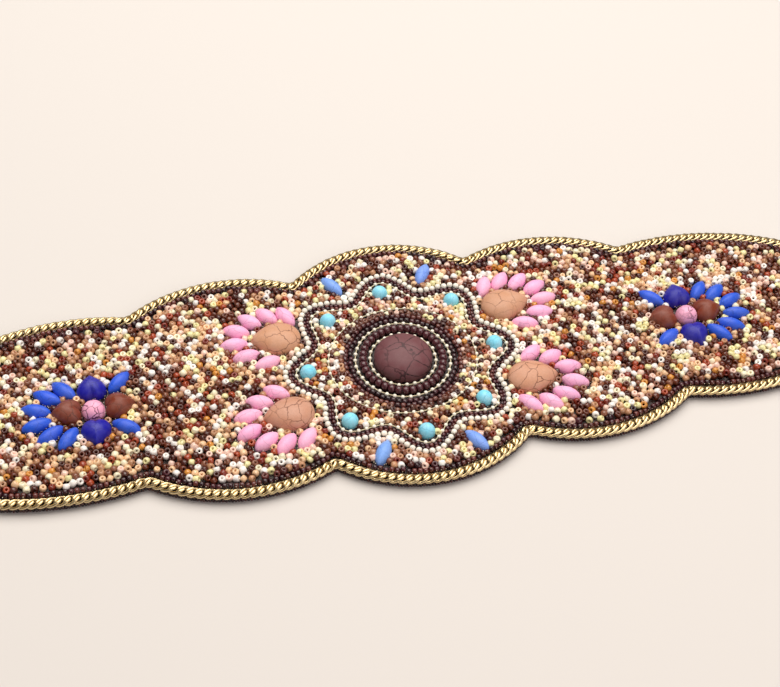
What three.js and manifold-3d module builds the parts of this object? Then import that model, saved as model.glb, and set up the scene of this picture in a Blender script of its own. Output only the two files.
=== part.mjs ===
// A wide elastic belt whose felt panel is embroidered with beads and stones, laid open and flat.
// All sizes are in millimetres. X runs along the belt, +Y is its far edge and +Z is up.
// The origin is on the belt's underside, at its middle.
import * as THREE from "three";
import { mergeVertices } from "three/addons/utils/BufferGeometryUtils.js";
import Module from "manifold-3d";

const wasm = await Module();
wasm.setup();

// Driving dimensions

// The gap left between pieces that touch on the real belt, and the wider one beside a faceted tube.
const clearance = 0.3;
const tubeClearance = 0.5;

// The felt, its edge set back under the chain, and the layer of seed beads on it.
const felt = { thickness: 2, setback: 1 };
const seatZ = felt.thickness + clearance;
const seedTopZ = 4.4;

// The scalloped edges: how far each valley lies from the middle line, and how far the arc after it rises.
// The hand-cut panel isn't quite the same on both sides.
const farEdge = [
  { x: -163, away: 25.6, rise: 7.9, steps: 7 },
  { x: -91.3, away: 38.9, rise: 8.4, steps: 7 },
  { x: -31.2, away: 43.6, rise: 12.6, steps: 9 },
  { x: 33.8, away: 43.6, rise: 8.1, steps: 7 },
  { x: 92.4, away: 38, rise: 7, steps: 7 },
  { x: 163, away: 25.2 },
];
const nearEdge = [
  { x: -163, away: 25.2, rise: 5.9, steps: 7 },
  { x: -92.9, away: 34.8, rise: 8.2, steps: 7 },
  { x: -32.2, away: 40.1, rise: 12.5, steps: 9 },
  { x: 34.5, away: 39.7, rise: 8.3, steps: 7 },
  { x: 93.9, away: 34.8, rise: 6.9, steps: 7 },
  { x: 163, away: 25.2 },
];
const panelEndX = 163;

// The gold curb chain that is glued along the edge.
const chain = { width: 4, thickness: 1.7, steps: 72, sides: 6 };

// The rings round the centre stone, each with the radius of its middle line.
const ballString = { diameter: 1.4, middleZ: 3.5, sides: 5 };
const innerBallRing = { radius: 11.5, steps: 20 };
const outerBallRing = { radius: 16.6, steps: 26 };
const oxbloodRing = { radius: 14, beadRadius: 1.45, beads: 36, waist: 0.7, sides: 10 };
const eyeLine = { halfLength: 26, halfWidth: 23.5, steps: 28 };

// The eight-lobed star: its middle line waves about a mean radius, and its rows run parallel to that line.
const star = { mean: 35.6, wave: 3.9, lobes: 8, stretchX: 1, stretchY: 0.975, steps: 48 };
const starRowOffset = 1.8;
const creamRow = { diameter: 2.2, middleZ: 3.45, sides: 6 };

// Stones: length, width and height above the felt, with the facets of the turned dome.
const girdle = 0.28;
const centreStone = { length: 20.4, width: 20.4, height: 7.6, sides: 20, rings: 4 };
const dropStone = { length: 17.6, width: 13.2, height: 5.6, sides: 18, rings: 3 };
const dotStone = { length: 5.7, width: 5.7, height: 4.3, sides: 10, rings: 2 };
const roundStone = { length: 7.8, width: 7.8, height: 5.4, sides: 12, rings: 3 };
const heartStone = { length: 10.2, width: 10, height: 4.4, sides: 16, rings: 2 };
const marquiseStone = { length: 10.6, width: 5, height: 3.7, sides: 10, rings: 2 };
const pinkPetal = { length: 9.9, width: 5.4, height: 3.7, sides: 8, rings: 2 };
const bluePetal = { length: 10.5, width: 5, height: 3.7, sides: 8, rings: 2 };

// The thin bed of glue that joins the petals of one fan.
const gluePad = { width: 2.4, thickness: 0.8 };

// Turquoise dots, one in each lobe of the star, as they were set by hand.
const dotPlaces = [
  { x: 33.3, y: 0.6 },
  { x: 23.6, y: 23.2 },
  { x: -0.9, y: 31.7 },
  { x: -22, y: 22.2 },
  { x: -33.4, y: 0.6 },
  { x: -23.9, y: -22.7 },
  { x: 0.3, y: -32 },
  { x: 23, y: -22.4 },
];

// The tan drop and the light blue marquise of each quarter, and the way their outer tips point.
// along is outwards along the belt and away is towards its edge, from the belt's middle.
const quarters = [
  {
    name: "far_left",
    outwards: -1,
    side: 1,
    drop: { along: 41.6, away: 17.4, turn: 4 },
    marquise: { along: 17.2, away: 38.4, turn: 58 },
  },
  {
    name: "far_right",
    outwards: 1,
    side: 1,
    drop: { along: 42.2, away: 17.4, turn: 4 },
    marquise: { along: 16.6, away: 37.8, turn: 58 },
  },
  {
    name: "near_left",
    outwards: -1,
    side: -1,
    drop: { along: 43.4, away: 16.2, turn: 4 },
    marquise: { along: 16, away: 37.9, turn: 58 },
  },
  {
    name: "near_right",
    outwards: 1,
    side: -1,
    drop: { along: 42.2, away: 16.9, turn: 4 },
    marquise: { along: 15.6, away: 39.2, turn: 58 },
  },
];

// The petals round a drop, measured from the drop's middle in the same way.
const farFanPetals = [
  { along: -5.2, away: 10, turn: 64 },
  { along: 1.3, away: 11.4, turn: 50 },
  { along: 7.6, away: 10, turn: 39 },
  { along: 12.9, away: 6.3, turn: 22 },
  { along: 14.6, away: 0.4, turn: 2 },
  { along: 11.4, away: -5.6, turn: -9 },
  { along: 4.6, away: -9.8, turn: -16 },
];
const nearFanPetals = [
  { along: -4.2, away: 10.8, turn: 50 },
  { along: 3, away: 11.5, turn: 45 },
  { along: 9.2, away: 9.2, turn: 30 },
  { along: 14, away: 4.5, turn: 24 },
  { along: 13.4, away: -2.2, turn: 8 },
  { along: 8.6, away: -7.4, turn: -18 },
  { along: 2.3, away: -10.4, turn: -32 },
];

// The blue flowers' middles, and their hearts and petals, measured outwards along the belt from a middle.
const flowers = [
  { name: "left", outwards: -1, x: -106.5, y: -1.6 },
  { name: "right", outwards: 1, x: 105.3, y: -0.9 },
];
const flowerHearts = [
  { name: "brown_heart_outer", along: 8.6, away: 1.2, turn: 2, color: 0x6b3a2c },
  { name: "brown_heart_inner", along: -8.7, away: 1, turn: 180, color: 0x6b3a2c },
  { name: "dark_blue_heart_far", along: -0.2, away: 9.8, turn: 90, color: 0x2b2a9e },
  { name: "dark_blue_heart_near", along: 0, away: -8.9, turn: -86, color: 0x2b2a9e },
];
const outerFlowerPetals = [
  { along: 8.9, away: 10.9, turn: 48 },
  { along: 14.5, away: 8.8, turn: 35 },
  { along: 18.5, away: 4.1, turn: 20 },
  { along: 18.7, away: -2.1, turn: -12 },
  { along: 14.7, away: -6.8, turn: -30 },
  { along: 9.2, away: -9.7, turn: -52 },
];
const innerFlowerPetals = [
  { name: "blue_petal_far", along: -9.5, away: 10.9, turn: 135 },
  { name: "blue_petal_near", along: -9.9, away: -8.3, turn: -148 },
];

// The stretch band, whose thin sewn end lies in a rebate under the felt, and the clasp on its far end.
const band = { width: 46, thickness: 1.5, endX: 311, sewnLength: 11, sewnThickness: 0.6 };
const rebateTop = band.sewnThickness + clearance;
const clasp = { coverLength: 10, sheet: 1.2, plate: 1.5, endX: 330 };
const slot = { startX: 317, endX: 324, width: 32 };
const hook = { width: 28, backX: 318, bendX: 328.5, gap: 2.7 };

// Finishes, with the colour that the piece shows
function finish(color, roughness = 0.45, metalness = 0) {
  return new THREE.MeshStandardMaterial({ color, roughness, metalness });
}

const gold = finish(0xd9b464, 0.3, 1);
const steel = finish(0xb9b9b6, 0.35, 1);
const feltFinish = finish(0x2a2322, 0.95);
const bandFinish = finish(0x1c1a1a, 0.9);

// Plane curves and loops

function point(x, y) {
  return new THREE.Vector2(x, y);
}

// Points along the arc from start up to end, end left out, that rises to the left of its chord.
function arcPoints(start, end, rise, steps) {
  const chord = end.clone().sub(start);
  const half = chord.length() / 2;
  const radius = (half * half + rise * rise) / (2 * rise);
  const left = point(-chord.y, chord.x).normalize();
  const centre = start.clone().add(end).multiplyScalar(0.5);
  centre.addScaledVector(left, rise - radius);
  const sweep = 2 * Math.asin(half / radius);
  const points = [];
  for (let i = 0; i < steps; i++) {
    points.push(start.clone().rotateAround(centre, (-sweep * i) / steps));
  }
  return points;
}

// A scalloped edge from left to right, as if it were the far one.
function edgeLine(valleys) {
  const line = [];
  for (let i = 0; i + 1 < valleys.length; i++) {
    const { x, away, rise, steps } = valleys[i];
    const next = valleys[i + 1];
    line.push(...arcPoints(point(x, away), point(next.x, next.away), rise, steps));
  }
  line.push(point(panelEndX, valleys.at(-1).away));
  return line;
}

// The panel's outer line, anticlockwise from its near left corner.
function panelLoop() {
  const near = edgeLine(nearEdge).map(({ x, y }) => point(x, -y));
  return [...near, ...edgeLine(farEdge).reverse()];
}

// A loop moved inwards by a distance, its corners kept as mitres.
function insetLoop(loop, distance) {
  return loop.map((here, i) => {
    const before = loop.at(i - 1);
    const after = loop[(i + 1) % loop.length];
    const arrive = here.clone().sub(before).normalize();
    const leave = after.clone().sub(here).normalize();
    const inwards = point(-arrive.y - leave.y, arrive.x + leave.x).normalize();
    const mitre = distance / (inwards.x * -leave.y + inwards.y * leave.x);
    return here.clone().addScaledVector(inwards, mitre);
  });
}

// A loop parallel to the star's middle line, an offset further out.
function starLoop(offset) {
  const loop = [];
  for (let i = 0; i < star.steps; i++) {
    const angle = (i / star.steps) * 2 * Math.PI;
    const radius = star.mean + star.wave * Math.cos(star.lobes * angle);
    const slope = -star.lobes * star.wave * Math.sin(star.lobes * angle);
    const along = point(
      star.stretchX * (slope * Math.cos(angle) - radius * Math.sin(angle)),
      star.stretchY * (slope * Math.sin(angle) + radius * Math.cos(angle)),
    );
    const outwards = point(along.y, -along.x).normalize();
    const middle = point(
      star.stretchX * radius * Math.cos(angle),
      star.stretchY * radius * Math.sin(angle),
    );
    loop.push(middle.addScaledVector(outwards, offset));
  }
  return loop;
}

function ovalLoop(halfLength, halfWidth, steps) {
  const loop = [];
  for (let i = 0; i < steps; i++) {
    const angle = (i / steps) * 2 * Math.PI;
    loop.push(point(halfLength * Math.cos(angle), halfWidth * Math.sin(angle)));
  }
  return loop;
}

// The smallest convex loop round some points.
function hullLoop(points) {
  const sorted = [...points].sort((a, b) => a.x - b.x || a.y - b.y);
  function chainOf(list) {
    const kept = [];
    for (const p of list) {
      while (kept.length > 1) {
        const [a, b] = kept.slice(-2);
        if ((b.x - a.x) * (p.y - a.y) - (b.y - a.y) * (p.x - a.x) > 0) break;
        kept.pop();
      }
      kept.push(p);
    }
    return kept.slice(0, -1);
  }
  return [...chainOf(sorted), ...chainOf(sorted.reverse())];
}

// Stone outlines: the point at an angle, on a stone whose tip lies at angle 0

function ovalOutline({ length, width }) {
  return (angle) => point((length / 2) * Math.cos(angle), (width / 2) * Math.sin(angle));
}

function marquiseOutline({ length, width }) {
  const pointedness = 1.3;
  return (angle) => {
    const side = Math.sin(angle);
    const bow = Math.sign(side) * Math.abs(side) ** pointedness;
    return point((length / 2) * Math.cos(angle), (width / 2) * bow);
  };
}

// Round at its back and drawn in to a point at its tip.
function dropOutline({ length, width }) {
  const taper = 0.2;
  return (angle) => {
    const side = Math.sin(angle);
    const pointedness = 1.25 + 0.25 * Math.cos(angle);
    const bow = Math.sign(side) * Math.abs(side) ** pointedness * (1 - taper * Math.cos(angle));
    return point((length / 2) * Math.cos(angle), (width / 2) * bow);
  };
}

// A heart curve of four cosine waves: two round lobes with a notch between them, and a point at the tip.
function heartOutline({ length, width }) {
  const waves = [-0.8, 12, 2, -1.6, 0.6];
  const reach = 12.2;
  const fullness = 2.4;
  return (angle) => {
    const side = Math.sin(angle);
    const along = waves.reduce((sum, size, i) => sum + size * Math.cos(i * angle), 0);
    const bow = Math.sign(side) * Math.abs(side) ** fullness;
    return point(((length / 2) * along) / reach, (width / 2) * bow);
  };
}

// Solids

function toSolid(geometry) {
  const loose = geometry.index ? geometry.toNonIndexed() : geometry;
  const bare = new THREE.BufferGeometry().setAttribute("position", loose.getAttribute("position"));
  const merged = mergeVertices(bare, 1e-4);
  return new wasm.Manifold(
    new wasm.Mesh({
      numProp: 3,
      vertProperties: merged.getAttribute("position").array,
      triVerts: new Uint32Array(merged.index.array),
    }),
  );
}

function toGeometry(solid) {
  const { vertProperties, triVerts } = solid.getMesh();
  const geometry = new THREE.BufferGeometry();
  geometry.setAttribute("position", new THREE.BufferAttribute(vertProperties, 3));
  geometry.setIndex(new THREE.BufferAttribute(triVerts, 1));
  return geometry;
}

function union(geometries) {
  return toGeometry(geometries.map(toSolid).reduce((all, one) => all.add(one)));
}

function cut(geometry, cutters) {
  return toGeometry(cutters.map(toSolid).reduce((left, cutter) => left.subtract(cutter), toSolid(geometry)));
}

// A flat plate between two heights, with holes.
function plate(loop, holes, bottomZ, topZ) {
  const shape = new THREE.Shape(loop);
  shape.holes = holes.map((hole) => new THREE.Path(hole));
  const settings = { depth: topZ - bottomZ, bevelEnabled: false };
  return new THREE.ExtrudeGeometry(shape, settings).translate(0, 0, bottomZ);
}

// A block across the belt, from a profile in X and Z.
function crossBlock(corners, width) {
  const shape = new THREE.Shape(corners.map(([x, z]) => point(x, z)));
  const block = new THREE.ExtrudeGeometry(shape, { depth: width, bevelEnabled: false });
  return block.rotateX(Math.PI / 2).translate(0, width / 2, 0);
}

// A closed tube along a loop, flattened to its thickness.
function loopTube(loop, steps, width, thickness, middleZ, sides) {
  const curve = new THREE.CatmullRomCurve3(
    loop.map(({ x, y }) => new THREE.Vector3(x, y, 0)),
    true,
  );
  const tube = new THREE.TubeGeometry(curve, steps, width / 2, sides, true);
  return tube.scale(1, 1, thickness / width).translate(0, 0, middleZ);
}

// The plain round tube that a string of small beads fills.
function stringTube(loop, steps, { diameter, middleZ, sides }) {
  return loopTube(loop, steps, diameter, diameter, middleZ, sides);
}

// A domed stone with a flat base at z 0: a dome turned on a lathe, then pushed out to its outline.
function domedStone(size, outline) {
  const profile = [point(0, 0), point(1, 0)];
  for (let i = 0; i <= size.rings; i++) {
    const angle = (i / size.rings) * (Math.PI / 2);
    profile.push(point(Math.cos(angle), girdle + (1 - girdle) * Math.sin(angle)));
  }
  const dome = new THREE.LatheGeometry(profile, size.sides, Math.PI / 2);
  dome.rotateX(Math.PI / 2);
  const place = dome.getAttribute("position");
  for (let i = 0; i < place.count; i++) {
    const x = place.getX(i);
    const y = place.getY(i);
    const edge = outline(Math.atan2(y, x)).multiplyScalar(Math.hypot(x, y));
    place.setXYZ(i, edge.x, edge.y, size.height * place.getZ(i));
  }
  return dome;
}

// Where a row of a placing table lies. outwards and side are 1 or -1, for the quarter of the belt.
function placed(row, outwards, side) {
  const turn = THREE.MathUtils.degToRad(row.turn);
  return {
    x: outwards * row.along,
    y: side * row.away,
    angle: Math.atan2(side * Math.sin(turn), outwards * Math.cos(turn)),
  };
}

// The outline points of a placed stone, grown all round by the clearance.
function grownOutline(size, outline, { x, y, angle }) {
  const points = [];
  for (let i = 0; i < size.sides; i++) {
    const edge = outline((i / size.sides) * 2 * Math.PI);
    edge.setLength(edge.length() + clearance);
    points.push(edge.rotateAround(point(0, 0), angle).add(point(x, y)));
  }
  return points;
}

// Petals fused by the strip of glue that runs under their middles.
function petalFan(size, petals) {
  const domes = petals.map(({ x, y, angle }) => {
    const dome = domedStone(size, marquiseOutline(size));
    return dome.rotateZ(angle).translate(x, y, 0);
  });
  const strips = [];
  for (let i = 0; i + 1 < petals.length; i++) {
    const run = point(petals[i + 1].x - petals[i].x, petals[i + 1].y - petals[i].y);
    const strip = new THREE.BoxGeometry(run.length(), gluePad.width, gluePad.thickness);
    strip.rotateZ(run.angle());
    strip.translate(petals[i].x + run.x / 2, petals[i].y + run.y / 2, gluePad.thickness / 2);
    strips.push(strip);
  }
  return union([...domes, ...strips]);
}

// The belt, laid out as a scene

const belt = new THREE.Group();

function addPiece(name, geometry, material, x = 0, y = 0, z = 0, angle = 0) {
  const mesh = new THREE.Mesh(geometry, material);
  mesh.name = name;
  mesh.position.set(x, y, z);
  mesh.rotation.z = angle;
  belt.add(mesh);
}

function addStone(name, size, outline, color, { x, y, angle }) {
  addPiece(name, domedStone(size, outline(size)), finish(color), x, y, seatZ, angle);
}

// Felt panel, with a rebate under each end for the sewn end of the stretch band
const outerLoop = panelLoop();
const rebateStartX = panelEndX - band.sewnLength - clearance;
const rebateLength = 2 * (panelEndX - rebateStartX);
const rebates = [-1, 1].map((way) => {
  const rebate = new THREE.BoxGeometry(rebateLength, band.width + 2 * clearance, 2 * rebateTop);
  return rebate.translate(way * panelEndX, 0, 0);
});
const feltPlate = plate(insetLoop(outerLoop, felt.setback), [], 0, felt.thickness);
addPiece("felt_backing", cut(feltPlate, rebates), feltFinish);

// Curb chain along the edge
const chainLoop = insetLoop(outerLoop, chain.width / 2);
const chainZ = seatZ + chain.thickness / 2;
const chainTube = loopTube(chainLoop, chain.steps, chain.width, chain.thickness, chainZ, chain.sides);
addPiece("edge_chain", chainTube, gold);

// Stones of the four fans, and the pockets that the seed beads leave for them
const pockets = [];
for (const quarter of quarters) {
  const { name, outwards, side } = quarter;
  const drop = placed(quarter.drop, outwards, side);
  addStone("tan_drop_" + name, dropStone, dropOutline, 0xc08a66, drop);
  const petals = side > 0 ? farFanPetals : nearFanPetals;
  const places = petals.map((row) => placed(row, outwards, side));
  addPiece("pink_fan_" + name, petalFan(pinkPetal, places), finish(0xf29cc0), drop.x, drop.y, seatZ);
  const inBelt = places.map(({ x, y, angle }) => ({ x: x + drop.x, y: y + drop.y, angle }));
  const edges = inBelt.flatMap((place) => grownOutline(pinkPetal, marquiseOutline(pinkPetal), place));
  pockets.push(hullLoop([...edges, ...grownOutline(dropStone, dropOutline(dropStone), drop)]));

  const marquise = placed(quarter.marquise, outwards, side);
  addStone("light_blue_marquise_" + name, marquiseStone, marquiseOutline, 0x6b93e8, marquise);
  pockets.push(grownOutline(marquiseStone, marquiseOutline(marquiseStone), marquise));
}

// The two blue flowers
for (const { name, outwards, x, y } of flowers) {
  const middle = { x, y, angle: 0 };
  addStone("pink_round_" + name, roundStone, ovalOutline, 0xf29cc0, middle);
  const edges = [];
  for (const row of flowerHearts) {
    const local = placed(row, outwards, 1);
    const heart = { x: local.x + middle.x, y: local.y + middle.y, angle: local.angle };
    addStone(row.name + "_" + name, heartStone, heartOutline, row.color, heart);
    edges.push(...grownOutline(heartStone, heartOutline(heartStone), heart));
  }
  for (const row of innerFlowerPetals) {
    const local = placed(row, outwards, 1);
    const petal = { x: local.x + middle.x, y: local.y + middle.y, angle: local.angle };
    addStone(row.name + "_" + name, bluePetal, marquiseOutline, 0x2f57c8, petal);
    edges.push(...grownOutline(bluePetal, marquiseOutline(bluePetal), petal));
  }
  const places = outerFlowerPetals.map((row) => placed(row, outwards, 1));
  addPiece("blue_fan_" + name, petalFan(bluePetal, places), finish(0x2f57c8), x, y, seatZ);
  for (const local of places) {
    const petal = { x: local.x + middle.x, y: local.y + middle.y, angle: local.angle };
    edges.push(...grownOutline(bluePetal, marquiseOutline(bluePetal), petal));
  }
  pockets.push(hullLoop(edges));
}

// Layer of seed beads between the chain and the star
const ballRadius = ballString.diameter / 2;
const creamRadius = creamRow.diameter / 2;
const fieldLoop = insetLoop(outerLoop, chain.width + tubeClearance);
const starHole = starLoop(starRowOffset + creamRadius + tubeClearance);
const fieldPlate = plate(fieldLoop, [starHole], seatZ, seedTopZ);
const pocketBlocks = pockets.map((pocket) => plate(pocket, [], 0, 2 * seedTopZ));
addPiece("seed_field", cut(fieldPlate, pocketBlocks), finish(0xc99f7c));

// The star's three rows
const starBallLoop = starLoop(-starRowOffset);
const starCreamLoop = starLoop(starRowOffset);
addPiece("star_ball_string", stringTube(starBallLoop, star.steps, ballString), finish(0xeadcb8, 0.3));
addPiece("star_cream_row", stringTube(starCreamLoop, star.steps, creamRow), finish(0xf2e8ce, 0.3));
const darkRowOuter = starLoop(starRowOffset - creamRadius - clearance);
const darkRowInner = starLoop(-starRowOffset + ballRadius + clearance);
addPiece("star_dark_row", plate(darkRowOuter, [darkRowInner], seatZ, seedTopZ), finish(0x3a2828, 0.3));

// Layer of seed beads inside the star, open towards each lobe's tip where a dot stands
const eyeGrowth = ballRadius + clearance;
const eyeHole = ovalLoop(eyeLine.halfLength + eyeGrowth, eyeLine.halfWidth + eyeGrowth, eyeLine.steps);
const starInner = starLoop(-starRowOffset - ballRadius - tubeClearance);
const starFieldPlate = plate(starInner, [eyeHole], seatZ, seedTopZ);
const dotPockets = [];
dotPlaces.forEach(({ x, y }, i) => {
  const angle = Math.atan2(y, x);
  addStone("turquoise_dot_" + (i + 1), dotStone, ovalOutline, 0x55b4dc, { x, y, angle: 0 });
  const reach = 2 * dotStone.length;
  const pocket = hullLoop([
    ...grownOutline(dotStone, ovalOutline(dotStone), { x: 0, y: 0, angle: 0 }),
    point(reach, -dotStone.width / 2),
    point(reach, dotStone.width / 2),
  ]);
  dotPockets.push(plate(pocket, [], 0, 2 * seedTopZ).rotateZ(angle).translate(x, y, 0));
});
addPiece("star_field", cut(starFieldPlate, dotPockets), finish(0xd8b48c));

// The eye-shaped string and the dark beads inside it
const eyeLoop = ovalLoop(eyeLine.halfLength, eyeLine.halfWidth, eyeLine.steps);
addPiece("eye_ball_string", stringTube(eyeLoop, eyeLine.steps, ballString), finish(0xeadcb8, 0.3));
const eyeInner = ovalLoop(eyeLine.halfLength - eyeGrowth, eyeLine.halfWidth - eyeGrowth, eyeLine.steps);
const ringHoleRadius = outerBallRing.radius + ballRadius + clearance;
const ringHole = ovalLoop(ringHoleRadius, ringHoleRadius, eyeLine.steps);
addPiece("eye_dark_field", plate(eyeInner, [ringHole], seatZ, seedTopZ), finish(0x4a2c26, 0.3));

// Rings round the centre stone
for (const { name, ring } of [
  { name: "inner_ball_ring", ring: innerBallRing },
  { name: "outer_ball_ring", ring: outerBallRing },
]) {
  const geometry = new THREE.TorusGeometry(ring.radius, ballRadius, ballString.sides, ring.steps);
  addPiece(name, geometry, finish(0xeadcb8, 0.3), 0, 0, ballString.middleZ);
}

// A ring of fused beads: a torus whose every second section is drawn in to the waist between two beads.
function beadRing({ radius, beadRadius, beads, waist, sides }) {
  const ring = new THREE.TorusGeometry(radius, beadRadius, sides, 2 * beads);
  const place = ring.getAttribute("position");
  for (let i = 0; i < place.count; i++) {
    const section = i % (2 * beads + 1);
    if (section % 2 === 0) continue;
    const x = place.getX(i);
    const y = place.getY(i);
    const toMiddle = radius / Math.hypot(x, y);
    const pull = toMiddle + (1 - toMiddle) * waist;
    place.setXYZ(i, x * pull, y * pull, place.getZ(i) * waist);
  }
  return ring;
}
const oxbloodZ = seatZ + oxbloodRing.beadRadius;
addPiece("oxblood_bead_ring", beadRing(oxbloodRing), finish(0x4a2026, 0.25), 0, 0, oxbloodZ);

addStone("centre_cabochon", centreStone, ovalOutline, 0x6e4850, { x: 0, y: 0, angle: 0 });

// Stretch bands, with the thin sewn end under the felt
const bandStartX = panelEndX + clearance;
const bandProfile = [
  [panelEndX - band.sewnLength, 0],
  [band.endX, 0],
  [band.endX, band.thickness],
  [bandStartX, band.thickness],
  [bandStartX, band.sewnThickness],
  [panelEndX - band.sewnLength, band.sewnThickness],
];
addPiece("elastic_band_right", crossBlock(bandProfile, band.width), bandFinish);
addPiece("elastic_band_left", crossBlock(bandProfile, band.width), bandFinish, 0, 0, 0, Math.PI);

// Clasp: a pressed plate that covers the band's end, then either a slot or a hook
const coverBottom = band.thickness + clearance;
const coverTop = coverBottom + clasp.sheet;
const wallX = band.endX + clearance;
const claspProfile = [
  [band.endX - clasp.coverLength, coverBottom],
  [wallX, coverBottom],
  [wallX, 0],
  [clasp.endX, 0],
  [clasp.endX, clasp.plate],
  [wallX + clasp.sheet, clasp.plate],
  [wallX + clasp.sheet, coverTop],
  [band.endX - clasp.coverLength, coverTop],
];
const slotLength = slot.endX - slot.startX;
const slotBlock = new THREE.BoxGeometry(slotLength, slot.width, 4 * clasp.plate);
slotBlock.translate(slot.startX + slotLength / 2, 0, 0);
addPiece("clasp_eye", cut(crossBlock(claspProfile, band.width), [slotBlock]), steel);

const hookTop = clasp.plate + hook.gap;
const hookProfile = [
  [hook.backX, hookTop],
  [hook.bendX, hookTop],
  [hook.bendX, 0],
  [clasp.endX, 0],
  [clasp.endX, hookTop + clasp.sheet],
  [hook.backX, hookTop + clasp.sheet],
];
const hookPieces = [crossBlock(claspProfile, band.width), crossBlock(hookProfile, hook.width)];
addPiece("clasp_hook", union(hookPieces), steel, 0, 0, 0, Math.PI);

export default belt;
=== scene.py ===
# The elastic belt: a felt panel embroidered with beads and stones, on a stretch band with a hook clasp.
# X runs along the belt, +Y is its far edge and +Z is up. Sizes are in millimetres and become metres
# as each mesh is made. A place on the belt is a complex number, x + iy.
import math

import bpy
import numpy as np
from mathutils import Matrix, Vector, kdtree


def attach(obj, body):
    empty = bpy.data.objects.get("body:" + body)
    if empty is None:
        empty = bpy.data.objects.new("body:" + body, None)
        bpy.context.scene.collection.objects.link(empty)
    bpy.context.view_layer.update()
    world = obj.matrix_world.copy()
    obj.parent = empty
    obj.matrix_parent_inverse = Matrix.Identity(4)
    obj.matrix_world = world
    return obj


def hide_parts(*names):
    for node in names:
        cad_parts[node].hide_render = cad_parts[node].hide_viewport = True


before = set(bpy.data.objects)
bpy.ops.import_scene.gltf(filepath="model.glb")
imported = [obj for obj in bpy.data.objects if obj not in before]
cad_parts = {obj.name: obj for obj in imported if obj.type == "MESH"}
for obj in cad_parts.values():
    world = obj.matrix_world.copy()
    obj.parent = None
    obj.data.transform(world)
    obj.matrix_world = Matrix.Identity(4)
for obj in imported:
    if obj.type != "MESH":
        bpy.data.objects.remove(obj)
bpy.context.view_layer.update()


# Felt backing: dark acrylic craft felt, 2 mm thick, cut to the scalloped outline.
# The stones and beads are glued and sewn on top of it, and it is bare underneath.
MM = 0.001
FELT_THICKNESS = 2.0
FELT_SETBACK = 1.0
# The stones' backs stand on a film of glue.
SEAT = 2.3
PANEL_END = 163
# Each valley of a scalloped edge: its place along the belt, how far it lies from the middle line,
# and how far the arc after it rises. The hand-cut panel isn't quite the same on both sides.
FAR_EDGE = (
    (-163, 25.6, 7.9),
    (-91.3, 38.9, 8.4),
    (-31.2, 43.6, 12.6),
    (33.8, 43.6, 8.1),
    (92.4, 38, 7),
    (163, 25.2, 0),
)
NEAR_EDGE = (
    (-163, 25.2, 5.9),
    (-92.9, 34.8, 8.2),
    (-32.2, 40.1, 12.5),
    (34.5, 39.7, 8.3),
    (93.9, 34.8, 6.9),
    (163, 25.2, 0),
)
# The sewn end of each stretch band lies in a shallow rebate under the felt.
REBATE_TOP = 0.9
REBATE_LENGTH = 11.3
REBATE_PLAY = 0.6
BAND_WIDTH = 46


def arc_points(start, end, rise, steps=60):
    """Points of the arc that rises to the left of its chord, its end left out."""
    chord = end - start
    half = abs(chord) / 2
    radius = (half**2 + rise**2) / (2 * rise)
    centre = (start + end) / 2 + 1j * chord / abs(chord) * (rise - radius)
    sweep = 2 * math.asin(half / radius)
    return centre + (start - centre) * np.exp(-1j * sweep * np.arange(steps) / steps)


def edge_line(valleys):
    """A scalloped edge from left to right, as if it were the far one."""
    arcs = [
        arc_points(complex(x, away), complex(next_x, next_away), rise)
        for (x, away, rise), (next_x, next_away, _) in zip(valleys, valleys[1:])
    ]
    return np.concatenate([*arcs, [complex(PANEL_END, valleys[-1][1])]])


def even_loop(loop, spacing):
    """The loop again, its points an even distance apart."""
    closed = np.append(loop, loop[0])
    run = np.concatenate([[0], np.cumsum(np.abs(np.diff(closed)))])
    count = round(run[-1] / spacing)
    return np.interp(np.arange(count) * run[-1] / count, run, closed)


def smooth_loop(loop, reach):
    """The loop with its corners rounded over so many points each way."""
    return sum(np.roll(loop, k) for k in range(-reach, reach + 1)) / (2 * reach + 1)


def panel_loop(distance, spacing, slack=0.15):
    """A loop this far inside the panel's edge, without the points that cross at a corner."""
    ahead = np.roll(panel_edge, -1) - panel_edge
    ahead /= abs(ahead)
    behind = np.roll(ahead, 1)
    inwards = 1j * (ahead + behind)
    inwards /= abs(inwards)
    moved = panel_edge + inwards * distance / np.real(inwards * np.conj(1j * ahead))
    gap = np.abs(moved[:, None] - panel_edge[None, :]).min(axis=1)
    return even_loop(moved[gap > distance - slack], spacing)


def select_only(piece):
    bpy.ops.object.select_all(action="DESELECT")
    piece.select_set(True)
    bpy.context.view_layer.objects.active = piece


def add_object(name, data):
    made = bpy.data.objects.new(name, data)
    bpy.context.scene.collection.objects.link(made)
    return made


def add_primitive(operator, name, **settings):
    """A new primitive, with nothing else selected."""
    bpy.ops.object.select_all(action="DESELECT")
    operator(**settings)
    piece = bpy.context.object
    piece.name = name
    return piece


def extrude_through(steps):
    """Extrudes a ring through (height, width) steps, and welds the last to the first if they meet."""
    for (height, width), (next_height, next_width) in zip(steps, steps[1:]):
        rise = (next_height - height) * MM
        bpy.ops.mesh.extrude_region_move(TRANSFORM_OT_translate={"value": (0, 0, rise)})
        ratio = next_width / width
        bpy.ops.transform.resize(value=(ratio, ratio, 1), center_override=(0, 0, next_height * MM))
    bpy.ops.mesh.select_all(action="SELECT")
    if steps[-1] == steps[0]:
        bpy.ops.mesh.remove_doubles(threshold=0.005 * MM)
    bpy.ops.mesh.normals_make_consistent(inside=False)
    bpy.ops.object.mode_set(mode="OBJECT")


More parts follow.
